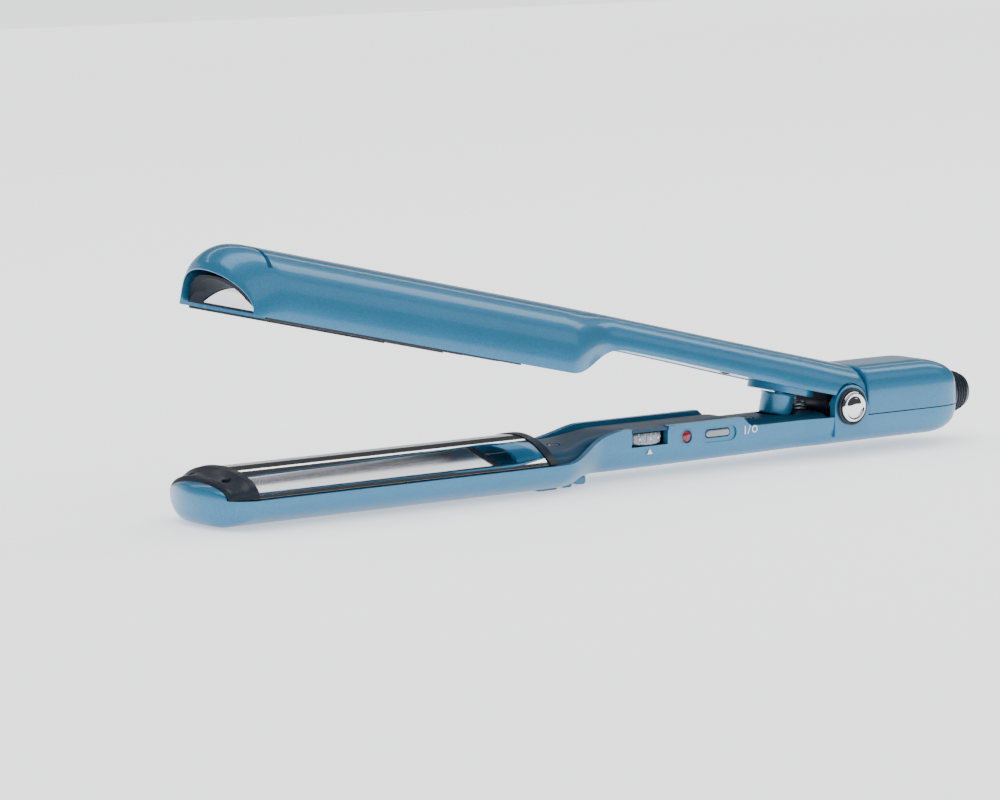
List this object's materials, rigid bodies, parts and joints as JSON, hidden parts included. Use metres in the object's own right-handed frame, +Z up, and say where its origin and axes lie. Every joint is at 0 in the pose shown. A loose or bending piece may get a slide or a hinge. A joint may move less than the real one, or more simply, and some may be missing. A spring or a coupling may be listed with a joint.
{
  "type": "hair styling iron",
  "caption": "Two-jaw hair styling iron with a convex metal barrel plate, a matching concave upper jaw, sprung hinge, side controls and a swivelling cord inlet.",
  "frame": {"origin": "centre of the bounding box, level with the underside of the lowest rest rib, with the jaws open", "axes": "+X towards the cord inlet, the jaws point to -X, +Z up, the controls face -Y"},
  "size_m": [0.2956, 0.038, 0.0786],
  "materials": {
    "shell_blue": "pearl metallic gloss",
    "plate_metal": "mirror polished",
    "trim_black": "satin",
    "steel": "satin",
    "heat_aluminium": "cast",
    "ceramic": "matt, stands for fired ceramic",
    "board_green": "solder mask",
    "control_silver": "satin silver",
    "lamp_red": "clear red, unlit",
    "lead_sleeve": "woven glass sleeve"
  },
  "bodies": {
    "lower_arm": {"lower_shell": "shell_blue", "lower_inner_cover": "shell_blue", "rear_cover": "shell_blue", "barrel_plate": "plate_metal", "hinge_cap_near": "plate_metal", "hinge_cap_far": "plate_metal", "barrel_front_cap": "trim_black", "barrel_rear_collar": "trim_black", "lower_plate_carrier": "trim_black", "hinge_washer_near": "trim_black", "hinge_washer_far": "trim_black", "potentiometer": "trim_black", "power_switch": "trim_black", "control_chip": "trim_black", "filter_capacitor": "trim_black", "terminal_block": "trim_black", "hinge_pin": "steel", "hinge_spacer_near": "steel", "hinge_spacer_far": "steel", "opening_spring": "steel", "swivel_clip": "steel", "lower_thermal_fuse": "steel", "lower_cover_screw_front": "steel", "lower_cover_screw_rear": "steel", "rear_screw_near": "steel", "rear_screw_far": "steel", "lower_heat_spreader": "heat_aluminium", "lower_heater": "ceramic", "control_board": "board_green", "lamp_lens": "lamp_red", "lamp": "lamp_red", "lower_heater_lead": "lead_sleeve"},
    "upper_arm": {"upper_shell": "shell_blue", "upper_inner_cover": "shell_blue", "upper_plate": "plate_metal", "upper_plate_carrier": "trim_black", "upper_heat_spreader": "heat_aluminium", "upper_heater": "ceramic", "wire_post": "shell_blue", "hinge_knuckle": "trim_black", "hinge_bush_near": "ceramic", "hinge_bush_far": "ceramic", "upper_thermal_fuse": "steel", "upper_heater_lead": "lead_sleeve", "upper_cover_screw_front": "steel", "upper_cover_screw_rear": "steel"},
    "temperature_dial": {"temperature_dial": "control_silver"},
    "power_button": {"power_button": "control_silver"},
    "cord_swivel": {"cord_swivel": "trim_black"}
  },
  "joints": [
    {"name": "arm_pivot", "type": "hinge", "parent": "lower_arm", "child": "upper_arm", "pos_m": [0.08975, 0, 0.0156], "axis": [0, 1, 0], "range_deg": [-12.2, 0], "stiffness_Nm_per_rad": 0.6, "springref_deg": 28.65, "deforming": ["opening_spring"]},
    {"name": "dial_turn", "type": "hinge", "parent": "lower_arm", "child": "temperature_dial", "pos_m": [0.01075, -0.0038, 0.0123], "axis": [0, 0, 1], "range_deg": [-135, 135]},
    {"name": "button_press", "type": "slide", "parent": "lower_arm", "child": "power_button", "axis": [0, 1, 0], "range_m": [0, 0.0008], "stiffness_N_per_m": 700, "springref_m": -0.001},
    {"name": "swivel_turn", "type": "hinge", "parent": "lower_arm", "child": "cord_swivel", "pos_m": [0.13, 0, 0.0146], "axis": [1, 0, 0], "continuous": true}
  ]
}
